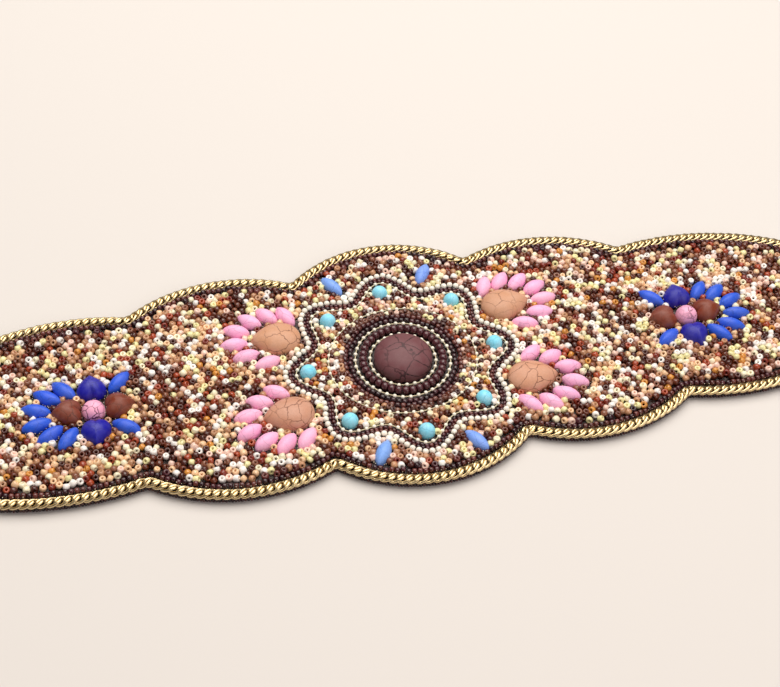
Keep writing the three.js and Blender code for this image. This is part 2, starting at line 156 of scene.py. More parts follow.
def raise_outline(name, outline, steps):
    """A filled circle moved to an outline, then extruded and scaled through (height, scale) steps."""
    piece = add_primitive(bpy.ops.mesh.primitive_circle_add, name, vertices=len(outline), fill_type="NGON")
    height, scale = steps[0]
    flat = np.column_stack([outline.real * scale, outline.imag * scale, np.full(len(outline), height)])
    piece.data.vertices.foreach_set("co", (flat * MM).ravel())
    bpy.ops.object.mode_set(mode="EDIT")
    bpy.ops.mesh.select_all(action="SELECT")
    extrude_through(steps)
    return piece


def apply_modifier(piece, kind, **settings):
    select_only(piece)
    modifier = piece.modifiers.new(kind.lower(), kind)
    for key, value in settings.items():
        setattr(modifier, key, value)
    bpy.ops.object.modifier_apply(modifier=modifier.name)


def discard(*pieces):
    """Removes patterns and cutters that have done their work."""
    for piece in pieces:
        bpy.data.objects.remove(piece)


def cut_block(piece, centre, size):
    """Cuts a block out of a piece."""
    place, scale = ([value * MM for value in values] for values in (centre, size))
    cutter = add_primitive(bpy.ops.mesh.primitive_cube_add, "cutter", size=1, location=place, scale=scale)
    bpy.ops.object.transform_apply(location=True, rotation=False, scale=True)
    apply_modifier(piece, "BOOLEAN", object=cutter, operation="DIFFERENCE")
    discard(cutter)


def linear(code):
    """A linear colour from an sRGB hex value."""
    parts = np.array([int(code[i : i + 2], 16) for i in (1, 3, 5)]) / 255
    return np.where(parts <= 0.04045, parts / 12.92, ((parts + 0.055) / 1.055) ** 2.4)


def rgba(code):
    return (*linear(code), 1.0)


def add_node(tree, kind, inputs, output=0, **settings):
    """Adds a shader node with its settings, links or sets its inputs, and gives one of its outputs."""
    made = tree.nodes.new("ShaderNode" + kind)
    for key, value in settings.items():
        setattr(made, key, value)
    for socket, value in inputs.items():
        if isinstance(value, bpy.types.NodeSocket):
            tree.links.new(value, made.inputs[socket])
        else:
            made.inputs[socket].default_value = value
    return made.outputs[output]


def new_material(name, **constants):
    """A material with one shader, whose constant sockets are set on it."""
    material = bpy.data.materials.new(name)
    material.use_nodes = True
    shader = material.node_tree.nodes["Principled BSDF"]
    for socket, value in constants.items():
        shader.inputs[socket.replace("_", " ")].default_value = value
    return material, material.node_tree


def dress(tree, **sources):
    """Links a material's colour, roughness or relief to its shader."""
    shader = tree.nodes["Principled BSDF"]
    for socket, source in sources.items():
        tree.links.new(source, shader.inputs[socket.replace("_", " ")])


def per_mm(size):
    """The scale of a pattern on Object coordinates whose grain is so many millimetres."""
    return 1 / (size * MM)


def fit(piece, material, slot, *nodes):
    """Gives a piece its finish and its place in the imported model."""
    piece.data.materials.clear()
    piece.data.materials.append(material)
    if nodes:
        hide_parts(*nodes)
    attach(piece, "root")
    return piece


near_line = np.conj(edge_line(NEAR_EDGE))
panel_edge = even_loop(np.concatenate([near_line, edge_line(FAR_EDGE)[::-1]]), 1.0)

felt_panel = raise_outline("felt_panel", panel_loop(FELT_SETBACK, 1.4), [(0, 1), (FELT_THICKNESS, 1)])
apply_modifier(felt_panel, "BEVEL", width=0.35 * MM, segments=3, limit_method="ANGLE")
for way in (-1, 1):
    rebate_size = (2 * REBATE_LENGTH, BAND_WIDTH + REBATE_PLAY, 2 * REBATE_TOP)
    cut_block(felt_panel, (way * PANEL_END, 0, 0), rebate_size)

# Matted acrylic fibre with a grain of half a millimetre: dull, soft at glancing angles, slightly uneven.
felt_finish, tree = new_material("acrylic_felt", Roughness=0.95, Sheen_Weight=0.35, Sheen_Roughness=0.6)
place = add_node(tree, "TexCoord", {}, "Object")
fibre = add_node(tree, "TexNoise", {"Vector": place, "Scale": per_mm(0.55), "Detail": 6.0, "Roughness": 0.7})
clumps = add_node(tree, "TexNoise", {"Vector": place, "Scale": per_mm(6), "Detail": 3.0})
tone = add_node(tree, "Mix", {0: fibre, 6: rgba("#1B1516"), 7: rgba("#3A3031")}, 2, data_type="RGBA")
tone = add_node(tree, "Mix", {0: clumps, 6: tone, 7: rgba("#2A2322")}, 2, data_type="RGBA")
relief = add_node(tree, "Bump", {"Height": fibre, "Strength": 0.6, "Distance": 0.25 * MM})
dress(tree, Base_Color=tone, Normal=relief)
fit(felt_panel, felt_finish, "felt", "felt_backing")


# Stretch bands: black woven elastic, 46 mm wide and 1.5 mm thick, with ribs along its length.
# Each band's thin pressed end is sewn under the felt in two rows of stitches.
BAND_THICKNESS = 1.5
BAND_END = 311
SEWN_START = 152
SEWN_THICKNESS = 0.6
RIB_PITCH = 2.3
RIB_DEPTH = 0.11
SELVEDGE = 0.9
SELVEDGE_THINNING = 0.45
# A band is pressed thin up to this far past the panel's end, and swells to its full thickness after it.
PRESS_MARGIN = 0.3
PRESS_RAMP = 1.6
STITCH_ROWS = (154.2, 160.2)
STITCH_LENGTH = 2.3
STITCH_PITCH = 3.1
STITCH_REACH = 20.2


def mesh_values(items, key, width=1, kind=float):
    """One property of all the points, corners or faces of a mesh."""
    values = np.empty(len(items) * width, kind)
    items.foreach_get(key, values)
    return values


def stretch_band(name, way):
    """A flat grid with ribs, given its thickness, then pressed thin where it is sewn."""
    length = BAND_END - SEWN_START
    middle = way * (BAND_END + SEWN_START) / 2
    piece = add_primitive(bpy.ops.mesh.primitive_grid_add, name, x_subdivisions=53, y_subdivisions=80, size=1)
    bpy.ops.object.mode_set(mode="EDIT")
    bpy.ops.transform.resize(value=(length * MM, (BAND_WIDTH - REBATE_PLAY / 2) * MM, 1))
    bpy.ops.transform.translate(value=(middle * MM, 0, 0))
    bpy.ops.object.mode_set(mode="OBJECT")
    thin = (BAND_THICKNESS - 2 * RIB_DEPTH) * MM
    apply_modifier(piece, "SOLIDIFY", thickness=thin, offset=0.0)
    points = mesh_values(piece.data.vertices, "co", 3).reshape(-1, 3)
    edge = (BAND_WIDTH / 2 - np.abs(points[:, 1]) / MM) / RIB_PITCH
    rib = RIB_DEPTH * MM * np.sin(math.pi * edge) ** 2 * np.sign(points[:, 2])
    selvedge = np.clip(edge * RIB_PITCH / SELVEDGE, SELVEDGE_THINNING, 1)
    points[:, 2] = (points[:, 2] + rib) * selvedge + BAND_THICKNESS / 2 * MM
    free = np.clip((np.abs(points[:, 0]) / MM - PANEL_END - PRESS_MARGIN) / PRESS_RAMP, 0, 1)
    points[:, 2] *= SEWN_THICKNESS / BAND_THICKNESS + free * (1 - SEWN_THICKNESS / BAND_THICKNESS)
    piece.data.vertices.foreach_set("co", points.ravel())
    select_only(piece)
    bpy.ops.object.shade_smooth_by_angle(angle=math.radians(50))
    return piece


def turn_bead(name, wall, sides):
    """A bead with its hole upright: a circle extruded round the (radius, height) section of its wall."""
    radius, height = wall[0]
    circle_add = bpy.ops.mesh.primitive_circle_add
    piece = add_primitive(circle_add, name, vertices=sides, radius=radius * MM, fill_type="NOTHING")
    bpy.ops.object.mode_set(mode="EDIT")
    bpy.ops.transform.translate(value=(0, 0, height * MM))
    extrude_through([(height, radius) for radius, height in [*wall, wall[0]]])
    return piece


def frames(ahead, up):
    """Turning matrices whose X runs ahead and whose Z is as near up as it can be."""
    ahead = ahead / np.linalg.norm(ahead, axis=1, keepdims=True)
    side = np.cross(up, ahead)
    side /= np.linalg.norm(side, axis=1, keepdims=True)
    return np.stack([ahead, side, np.cross(ahead, side)], axis=2)


def strew(name, pattern, spots, turns, sizes=1.0, colours=None, smooth=True):
    """One mesh of many copies of a pattern, each at its own spot, turn, size and colour."""
    source = pattern.data
    count, corners = len(spots), len(source.vertices)
    shape = mesh_values(source.vertices, "co", 3).reshape(1, -1, 3)
    grown = shape * np.broadcast_to(sizes, (count, 3))[:, None, :]
    points = np.einsum("nij,nkj->nki", turns, grown) + np.asarray(spots)[:, None, :] * MM
    loops = mesh_values(source.loops, "vertex_index", kind=np.int32)
    starts = mesh_values(source.polygons, "loop_start", kind=np.int32)
    step = np.arange(count, dtype=np.int32)[:, None]
    mesh = bpy.data.meshes.new(name)
    mesh.vertices.add(count * corners)
    mesh.vertices.foreach_set("co", points.astype(np.float32).ravel())
    mesh.loops.add(count * len(loops))
    mesh.loops.foreach_set("vertex_index", (loops[None, :] + step * corners).ravel())
    mesh.polygons.add(count * len(starts))
    mesh.polygons.foreach_set("loop_start", (starts[None, :] + step * len(loops)).ravel())
    mesh.update(calc_edges=True)
    if smooth:
        mesh.shade_smooth()
    if colours is not None:
        tint = mesh.attributes.new("bead_colour", "FLOAT_COLOR", "POINT")
        rows = np.column_stack([colours, np.ones(count)])
        tint.data.foreach_set("color", np.repeat(rows, corners, axis=0).astype(np.float32).ravel())
    return add_object(name, mesh)


def vectors(flat, height=0.0):
    """Complex places or directions on the belt, with a height, as rows of x, y and z."""
    flat = np.atleast_1d(flat)
    return np.column_stack([flat.real, flat.imag, np.broadcast_to(height, flat.shape)])


UP = np.array([[0.0, 0.0, 1.0]])

# Black polyester over rubber: fine cross threads 0.7 mm apart, dull with a faint thread sheen.
elastic_finish, tree = new_material("woven_elastic", Roughness=0.8, Sheen_Weight=0.25)
place = add_node(tree, "TexCoord", {}, "Object")
inputs = {"Vector": place, "Scale": per_mm(0.7) / 2, "Distortion": 0.6, "Detail": 1.0}
weft = add_node(tree, "TexWave", {**inputs, "Detail Scale": per_mm(3)}, "Fac", bands_direction="X")
inputs = {"Vector": place, "Scale": per_mm(0.575) / 2, "Distortion": 0.3, "Detail": 1.0}
warp = add_node(tree, "TexWave", inputs, "Fac", bands_direction="Y")
cloth = add_node(tree, "Math", {0: weft, 1: warp}, operation="MULTIPLY")
tone = add_node(tree, "Mix", {0: cloth, 6: rgba("#100E0F"), 7: rgba("#2B2829")}, 2, data_type="RGBA")
relief = add_node(tree, "Bump", {"Height": cloth, "Strength": 0.7, "Distance": 0.2 * MM})
dress(tree, Base_Color=tone, Normal=relief)


def spun_thread(name, pitch, dark, pale, **constants):
    """Spun thread, whose twist shows as a fine diagonal."""
    material, tree = new_material(name, **constants)
    place = add_node(tree, "TexCoord", {}, "Object")
    inputs = {"Vector": place, "Scale": per_mm(pitch) / 2}
    twist = add_node(tree, "TexWave", inputs, "Fac", bands_direction="DIAGONAL")
    tone = add_node(tree, "Mix", {0: twist, 6: rgba(dark), 7: rgba(pale)}, 2, data_type="RGBA")
    dress(tree, Base_Color=tone)
    return material


# Bonded polyester sewing thread, black, with a slight sheen.
thread_finish = spun_thread("sewing_thread", 0.4, "#141213", "#39353A", Roughness=0.5, Sheen_Weight=0.3)

stitch = turn_bead("stitch", [(0.01, -1), (0.14, -0.8), (0.17, 0), (0.14, 0.8), (0.01, 1)], 8)
for way, side in ((-1, "left"), (1, "right")):
    band = stretch_band("stretch_band_" + side, way)
    fit(band, elastic_finish, "elastic", "elastic_band_" + side)
    across = np.arange(-STITCH_REACH, STITCH_REACH + 0.1, STITCH_PITCH)
    rows = np.concatenate([way * x + 1j * across for x in STITCH_ROWS])
    turns = np.tile(frames(UP, np.array([[0.0, 1.0, 0.0]])), (len(rows), 1, 1))
    sewn = strew("band_stitches_" + side, stitch, vectors(rows, 0.1), turns, (1, 1, STITCH_LENGTH / 2))
    fit(sewn, thread_finish, "elastic")
discard(stitch)


# Hook and eye clasp: two plates of 1.2 to 1.5 mm steel strip, pressed over the ends of the bands.
# Their bends and edges are rounded by the press.
def pressed_copy(name, node, radius):
    """A merged copy of a CAD piece with its edges rounded."""
    piece = add_object(name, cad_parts[node].data.copy())
    select_only(piece)
    bpy.ops.object.mode_set(mode="EDIT")
    bpy.ops.mesh.select_all(action="SELECT")
    bpy.ops.mesh.remove_doubles(threshold=0.01 * MM)
    bpy.ops.mesh.dissolve_limited(angle_limit=math.radians(2))
    bpy.ops.object.mode_set(mode="OBJECT")
    apply_modifier(piece, "BEVEL", width=radius * MM, segments=3, limit_method="ANGLE")
    select_only(piece)
    bpy.ops.object.shade_smooth_by_angle(angle=math.radians(40))
    return piece


# Nickel-plated mild steel, brushed across the strip: grey, with fine lines and slightly cloudy.
steel_finish, tree = new_material("nickel_plated_steel", Metallic=1.0)
place = add_node(tree, "TexCoord", {}, "Object")
drawn = add_node(tree, "Mapping", {"Vector": place, "Scale": (1.0, 0.05, 1.0)})
lines = add_node(tree, "TexNoise", {"Vector": drawn, "Scale": per_mm(0.25), "Detail": 4.0})
clouds = add_node(tree, "TexNoise", {"Vector": place, "Scale": per_mm(9), "Detail": 3.0})
inputs = {"Value": lines, "From Min": 0.3, "From Max": 0.7, "To Min": 0.24, "To Max": 0.42}
rough = add_node(tree, "MapRange", inputs)
tone = add_node(tree, "Mix", {0: clouds, 6: rgba("#A9A8A4"), 7: rgba("#C9C7C1")}, 2, data_type="RGBA")
relief = add_node(tree, "Bump", {"Height": lines, "Strength": 0.25, "Distance": 0.03 * MM})
dress(tree, Base_Color=tone, Roughness=rough, Normal=relief)
EDGE_RADIUS = 0.4
for half in ("hook", "eye"):
    node = "clasp_" + half
    fit(pressed_copy("pressed_" + half, node, EDGE_RADIUS), steel_finish, "steel_clasp", node)


# Centre cabochon: a domed round of dyed crackle stone, 20.4 mm across, glued on its flat back.
# It stands 7.6 mm above the felt, and hairline cracks net its satin surface.
GIRDLE = 0.28
CENTRE_STONE = (20.4, 20.4, 7.6)
seed_barriers = []
chance = np.random.default_rng(417)


def full_turn(sides):
    """Even angles all the way round."""
    return np.arange(sides) / sides * 2 * math.pi


def oval_outline(length, width, sides, power=1.0):
    """An oval, which a power over 1 draws in to points at its two ends."""
    angle = full_turn(sides)
    bow = np.sign(np.sin(angle)) * np.abs(np.sin(angle)) ** power
    return length / 2 * np.cos(angle) + 0.5j * width * bow


def domed_stone(name, shape, size, sides, rings=8):
    """A flat-backed stone, its outline drawn in over a dome, and that outline."""
    length, width, height = size
    outline = shape(length, width, sides)
    steps = [(0, 0.97), (0.05 * height, 1), (GIRDLE * height, 1)]
    for i in range(1, rings):
        angle = i / rings * math.pi / 2
        steps.append(((GIRDLE + (1 - GIRDLE) * math.sin(angle)) * height, math.cos(angle)))
    steps.append((0.999 * height, 0.06))
    return raise_outline(name, outline, steps), outline


def set_stones(name, pattern, places, angles, colours, sizes=1.0, tilt=0.0):
    """Copies of a stone on the felt, each tipped slightly as the glue let it set."""
    places = np.atleast_1d(places)
    angles = np.broadcast_to(angles, places.shape)
    up = np.tile(UP, (len(places), 1))
    up[:, :2] += chance.normal(0, tilt + 1e-9, (len(places), 2))
    turns = frames(vectors(np.exp(1j * angles)), up)
    tint = np.tile(linear(colours), (len(places), 1)) * chance.normal(1, 0.025, (len(places), 3))
    return strew(name, pattern, vectors(places, SEAT), turns, sizes, np.clip(tint, 0, 1))


def dyed_stone(name, vein, cell, width, strength, roughness=0.42, paler=0.08):
    """Dyed, tumbled stone: satin and faintly clouded, with dark cracks between cells of a size."""
    material, tree = new_material(name, Specular_IOR_Level=0.38)
    place = add_node(tree, "TexCoord", {}, "Object")
    tint = add_node(tree, "Attribute", {}, "Color", attribute_name="bead_colour")
    clouds, grain, patches = (
        add_node(tree, "TexNoise", {"Vector": place, "Scale": per_mm(size), "Detail": detail})
        for size, detail in ((cell * 0.7, 5.0), (0.5, 4.0), (cell * 3.4, 2.0))
    )
    bend = add_node(tree, "TexNoise", {"Vector": place, "Scale": per_mm(cell * 0.3), "Detail": 3.0}, "Color")
    shift = add_node(tree, "VectorMath", {0: bend, 1: (0.5, 0.5, 0.5)}, operation="SUBTRACT")
    shift = add_node(tree, "VectorMath", {0: shift, "Scale": cell * 0.3 * MM}, operation="SCALE")
    bent = add_node(tree, "VectorMath", {0: place, 1: shift})
    inputs = {"Vector": bent, "Scale": per_mm(cell)}
    cells = add_node(tree, "TexVoronoi", inputs, "Distance", feature="DISTANCE_TO_EDGE")
    reach = width / cell
    inputs = {"Value": cells, "From Min": reach * 0.3, "From Max": reach, "To Min": 1.0, "To Max": 0.0}
    line = add_node(tree, "MapRange", inputs, interpolation_type="SMOOTHSTEP")
    fade, pale, speckle = (
        add_node(tree, "MapRange", {"Value": value, "From Min": a, "From Max": b, "To Min": c, "To Max": d})
        for value, a, b, c, d in (
            (patches, 0.4, 0.56, strength * 0.25, strength),
            (clouds, 0.35, 0.7, 0.0, paler),
            (grain, 0.3, 0.7, 0.93, 1.05),
        )
    )
    line = add_node(tree, "Math", {0: line, 1: fade}, operation="MULTIPLY")
    tone = add_node(tree, "Mix", {0: pale, 6: tint, 7: rgba("#FFF6F2")}, 2, data_type="RGBA")
    tone = add_node(tree, "VectorMath", {0: tone, "Scale": speckle}, operation="SCALE")
    tone = add_node(tree, "Mix", {0: line, 6: tone, 7: rgba(vein)}, 2, data_type="RGBA")
    inputs = {"Value": clouds, "To Min": roughness - 0.06, "To Max": roughness + 0.1}
    rough = add_node(tree, "MapRange", inputs)
    pores = add_node(tree, "Bump", {"Height": grain, "Strength": 0.15, "Distance": 0.05 * MM})
    inputs = {"Height": line, "Strength": 0.6, "Distance": 0.1 * MM, "Normal": pores}
    groove = add_node(tree, "Bump", inputs, invert=True)
    dress(tree, Base_Color=tone, Roughness=rough, Normal=groove)
    return material


plum_stone = dyed_stone("dyed_plum_crackle_stone", "#2B1417", 5.8, 0.24, 1.0, 0.5, 0.03)
centre_pattern, _ = domed_stone("centre_pattern", oval_outline, CENTRE_STONE, 64, 12)
centre_stone = set_stones("centre_stone", centre_pattern, 0j, 0.0, "#6C3D43")
fit(centre_stone, plum_stone, "plum_stone", "centre_cabochon")
discard(centre_pattern)


# Ball strings: round cream glass beads 1.45 mm across, knotted 2.75 mm apart on cream thread.
# Two rings of them hold the oxblood ring, one outlines the eye and one the star.
BALL = 1.45
BALL_PITCH = 2.75
BALL_HOLE = 0.4
THREAD = 0.42
# Loops are drawn in steps this long, threads and the lines that beads are kept off in longer ones.
LOOP_STEP = 0.5
BARRIER_STEP = 0.8
THREAD_STEP = 1.1
BALL_Z = 3.5
# The eye's and the star's strings lie on beads, so they stand this much higher than the rings.
PROUD = 0.45
INNER_RING = 11.5
OUTER_RING = 16.6
EYE_HALF_LENGTH = 26
EYE_HALF_WIDTH = 23.5
STAR_MEAN = 35.6
STAR_WAVE = 3.9
STAR_LOBES = 8
STAR_FLATTEN = 0.975
STAR_ROW = 1.8


def headings(loop):
    """The direction along a closed loop at each of its points."""
    ahead = np.roll(loop, -1) - np.roll(loop, 1)
    return ahead / abs(ahead)


def star_loop(offset, spacing):
    """A loop parallel to the star's waving middle line, an offset further out."""
    angle = np.linspace(0, 2 * math.pi, 1441)[:-1]
    radius = STAR_MEAN + STAR_WAVE * np.cos(STAR_LOBES * angle)
    middle = radius * np.cos(angle) + 1j * STAR_FLATTEN * radius * np.sin(angle)
    return even_loop(middle - 1j * headings(middle) * offset, spacing)


def string_beads(name, pattern, loop, pitch, height, colours, sizes=1.0, wander=0.0):
    """Beads on a loop of thread, each with its hole along the thread."""
    spots = even_loop(loop, pitch)
    ahead = headings(spots)
    spots = spots + chance.normal(0, wander + 1e-9, len(spots)) * 1j * ahead
    along = vectors(ahead, chance.normal(0, wander * 0.5 + 1e-9, len(spots)))
    turns = frames(np.cross(UP, along), along)
    tint = colours(spots) if callable(colours) else colours
    if isinstance(colours, str):
        tint = np.tile(linear(colours), (len(spots), 1)) * chance.normal(1, 0.03, (len(spots), 1))
    heights = height + chance.normal(0, wander + 1e-9, len(spots))
    return strew(name, pattern, vectors(spots, heights), turns, sizes, np.clip(tint, 0, 1))


def wire_ring(name, steps, sides, diameter):
    """A torus, its points by section, and how far each lies outwards of the wire's middle."""
    counts = {"major_segments": steps, "minor_segments": sides}
    radii = {"major_radius": 1, "minor_radius": diameter / 2 * MM}
    piece = add_primitive(bpy.ops.mesh.primitive_torus_add, name, **counts, **radii)
    points = mesh_values(piece.data.vertices, "co", 3).reshape(steps, sides, 3)
    return piece, points, np.hypot(points[:, :, 0], points[:, :, 1]) - 1


def thread_loop(name, loop, height, diameter, sides=6):
    """A closed thread: a torus whose sections are moved along the loop."""
    spots = even_loop(loop, THREAD_STEP)
    piece, points, out = wire_ring(name, len(spots), sides, diameter)
    normal = -1j * headings(spots)
    points[:, :, 0] = spots.real[:, None] * MM + normal.real[:, None] * out
    points[:, :, 1] = spots.imag[:, None] * MM + normal.imag[:, None] * out
    points[:, :, 2] += height * MM
    piece.data.vertices.foreach_set("co", points.ravel())
    select_only(piece)
    bpy.ops.object.shade_smooth()
    return piece


def glass_bead(name, roughness, coat, speck=0.08):
    """Pressed opaque glass, fire-polished: its colour goes right through, and it is glossy all over."""
    material, tree = new_material(name, Coat_Weight=coat, Coat_Roughness=0.08, IOR=1.52)
    place = add_node(tree, "TexCoord", {}, "Object")
    tint = add_node(tree, "Attribute", {}, "Color", attribute_name="bead_colour")
    spots = add_node(tree, "TexNoise", {"Vector": place, "Scale": per_mm(1.6), "Detail": 3.0})
    inputs = {"Value": spots, "From Min": 0.3, "From Max": 0.7, "To Min": 1 - speck, "To Max": 1 + speck}
    shade = add_node(tree, "MapRange", inputs)
    tone = add_node(tree, "VectorMath", {0: tint, "Scale": shade}, operation="SCALE")
    rough = add_node(tree, "MapRange", {"Value": spots, "To Min": roughness * 0.6, "To Max": roughness * 1.5})
    relief = add_node(tree, "Bump", {"Height": spots, "Strength": 0.12, "Distance": 0.08 * MM})
    dress(tree, Base_Color=tone, Roughness=rough, Normal=relief)
    return material


cream_glass = glass_bead("cream_pressed_glass", 0.2, 0.5)
# Waxed cotton thread: off-white and satin.
cotton_finish = spun_thread("waxed_cotton_thread", 0.5, "#B7A57E", "#EBDDBD", Roughness=0.55)


def both_halves(upper):
    """The whole section of a bead's wall from its upper half."""
    return upper + [(radius, -height) for radius, height in reversed(upper)]


def ball_wall(diameter, hole):
    """The section of a round bead's wall."""
    r = diameter / 2
    return both_halves([(hole / 2, 0.95 * r), (0.62 * r, 0.78 * r), (0.95 * r, 0.33 * r)])


ball = turn_bead("ball", ball_wall(BALL, BALL_HOLE), 10)
circle = np.exp(1j * np.linspace(0, 2 * math.pi, 361)[:-1])
eye_loop = oval_outline(2 * EYE_HALF_LENGTH, 2 * EYE_HALF_WIDTH, 360)
ball_strings = (
    ("inner_ball_ring", INNER_RING * circle),
    ("outer_ball_ring", OUTER_RING * circle),
    ("eye_ball_string", eye_loop),
    ("star_ball_string", star_loop(-STAR_ROW, LOOP_STEP)),
)
for node, loop in ball_strings:
    height = BALL_Z if node.endswith("ring") else BALL_Z + PROUD
    beads = string_beads(node + "_beads", ball, loop, BALL_PITCH, height, "#FDF4E2", wander=0.07)
    fit(beads, cream_glass, "ball_string", node)
    thread = thread_loop(node + "_thread", loop, height, THREAD)
    fit(thread, cotton_finish, "ball_string", node)
discard(ball)


# Oxblood ring: 36 fat pressed-glass rondelles, 2.9 mm across, threaded tightly round the centre stone.
OXBLOOD_RING = 14
RONDELLE_RADIUS = 1.47
RONDELLE_PITCH = 2.443
RONDELLE_UPPER = [(0.45, 1.0), (0.95, 1.08), (1.32, 0.72), (RONDELLE_RADIUS, 0.25)]
oxblood_glass = glass_bead("oxblood_pressed_glass", 0.26, 0.35, 0.2)
rondelle = turn_bead("rondelle", both_halves(RONDELLE_UPPER), 18)
line, height, size = OXBLOOD_RING * circle, SEAT + RONDELLE_RADIUS, (1, 1, 1.04)
ring = string_beads("oxblood_rondelles", rondelle, line, RONDELLE_PITCH, height, "#4E1F27", size, 0.05)
fit(ring, oxblood_glass, "oxblood_beads", "oxblood_bead_ring")
discard(rondelle)


# Star rows: a row of cream seed beads outside, two staggered rows of small dark ones inside it.
# They follow the eight lobes between the ball string and the field of mixed beads.
CREAM_SEED = 2.2
CREAM_PITCH = 2.25
CREAM_Z = 3.6
DARK_SEED = 1.4
DARK_PITCH = 1.58
DARK_Z = 3.3
DARK_OFFSETS = (-0.6, 0.45)


def seed_wall(diameter, height, hole):
    """The section of a rocaille's wall: barrel sides, rounded shoulders and a straight hole."""
    half, radius = height / 2, diameter / 2
    return both_halves([(radius, 0.42 * half), (0.78 * radius, half), (hole / 2 + 0.06, 0.86 * half)])


seed_glass = glass_bead("rocaille_glass", 0.24, 0.3, 0.1)
dark_glass = glass_bead("dark_rocaille_glass", 0.2, 0.2, 0.25)
cream_seed = turn_bead("cream_seed", ball_wall(CREAM_SEED, 0.7), 12)
dark_seed = turn_bead("dark_seed", seed_wall(DARK_SEED, 1.3, 0.45), 9)
line = star_loop(STAR_ROW, LOOP_STEP)
cream_row = string_beads("star_cream_beads", cream_seed, line, CREAM_PITCH, CREAM_Z, "#F9F1E4", wander=0.12)
fit(cream_row, seed_glass, "cream_seeds", "star_cream_row")


def pick_tints(codes, spots):
    """One of a few glass colours for each bead, at random."""
    kinds = np.array([linear(code) for code in codes])
    return kinds[chance.integers(0, len(kinds), len(spots))]


def dark_tints(spots):
    """Plum, brown and near-black glass in no order."""
    return pick_tints(("#4C1C24", "#552621", "#33121A", "#6A322C"), spots)


for number, offset in enumerate(DARK_OFFSETS, 1):
    name, line = f"star_dark_beads_{number}", star_loop(offset, LOOP_STEP)
    row = string_beads(name, dark_seed, line, DARK_PITCH, DARK_Z, dark_tints, wander=0.14)
    fit(row, dark_glass, "dark_seeds", "star_dark_row")


# Turquoise dots, light blue marquises and tan drops: flat-backed dyed stones on the felt.
# A dot fills the tip of each lobe, a marquise lies in each corner outside the star.
DOT = (5.7, 5.7, 4.3)
DOTS = (
    33.3 + 0.6j,
    23.6 + 23.2j,
    -0.9 + 31.7j,
    -22 + 22.2j,
    -33.4 + 0.6j,
    -23.9 - 22.7j,
    0.3 - 32j,
    23 - 22.4j,
)
MARQUISE = (10.6, 5.0, 3.7)
DROP = (17.6, 13.2, 5.6)
# Each quarter's drop and marquise: how far along and away from the belt's middle, and the way that the
# outer tip points.
QUARTERS = (
    ("far_left", -1, 1, (41.6, 17.4, 4), (17.2, 38.4, 58)),
    ("far_right", 1, 1, (42.2, 17.4, 4), (16.6, 37.8, 58)),
    ("near_left", -1, -1, (43.4, 16.2, 4), (16, 37.9, 58)),
    ("near_right", 1, -1, (42.2, 16.9, 4), (15.6, 39.2, 58)),
)
POINTEDNESS = 1.3
TAPER = 0.2
STONE_CLEARANCE = 0.95


def marquise_outline(length, width, sides):
    return oval_outline(length, width, sides, POINTEDNESS)


def drop_outline(length, width, sides):
    """Round at its back and drawn in to a point at its tip."""
    tipwards = np.cos(full_turn(sides))
    oval = oval_outline(length, width, sides, 1.25 + 0.25 * tipwards)
    return oval.real + 1j * oval.imag * (1 - TAPER * tipwards)


def placed(along, away, turn, outwards, side):
    """The place and angle of a row of a placing table, in one quarter of the belt."""
    turn = math.radians(turn)
    angle = math.atan2(side * math.sin(turn), outwards * math.cos(turn))
    return complex(outwards * along, side * away), angle


def bar_seeds(outline, place, angle, gap=STONE_CLEARANCE):
    """Keeps seed beads' middles this far outside a stone."""
    seed_barriers.append((even_loop(place + outline * np.exp(1j * angle), 0.7), gap))


def glue_stone(name, pattern, outline, place, angle, colour, tilt, *finish):
    """One stone set in its place, given its finish and kept clear of seed beads."""
    fit(set_stones(name, pattern, place, angle, colour, tilt=tilt), *finish)
    bar_seeds(outline, place, angle)


turquoise = dyed_stone("dyed_turquoise_howlite", "#4E9CBE", 4.0, 0.16, 0.35, 0.42, 0.2)
light_blue = dyed_stone("dyed_light_blue_howlite", "#4C6CB8", 5.0, 0.16, 0.4)
tan_stone = dyed_stone("tan_crackle_stone", "#7A4A32", 5.6, 0.18, 0.8, 0.46, 0.08)
dot_pattern, dot_outline = domed_stone("dot_pattern", oval_outline, DOT, 32, 7)
for number, place in enumerate(DOTS, 1):
    angle = math.atan2(place.imag, place.real)
    finish = (turquoise, "turquoise_stone", f"turquoise_dot_{number}")
    glue_stone(f"dot_stone_{number}", dot_pattern, dot_outline, place, angle, "#84E2FF", 0.02, *finish)
discard(dot_pattern)

tip_pattern, tip_outline = domed_stone("marquise_pattern", marquise_outline, MARQUISE, 36)
tear_pattern, tear_outline = domed_stone("drop_pattern", drop_outline, DROP, 48, 10)
for quarter, outwards, side, drop_row, marquise_row in QUARTERS:
    place, angle = placed(*marquise_row, outwards, side)
    finish = (light_blue, "light_blue_stone", "light_blue_marquise_" + quarter)
    glue_stone("marquise_stone_" + quarter, tip_pattern, tip_outline, place, angle, "#78A2F2", 0.02, *finish)
    place, angle = placed(*drop_row, outwards, side)
    finish = (tan_stone, "tan_stone", "tan_drop_" + quarter)
    glue_stone("drop_stone_" + quarter, tear_pattern, tear_outline, place, angle, "#CB9274", 0.01, *finish)
discard(tip_pattern, tear_pattern)


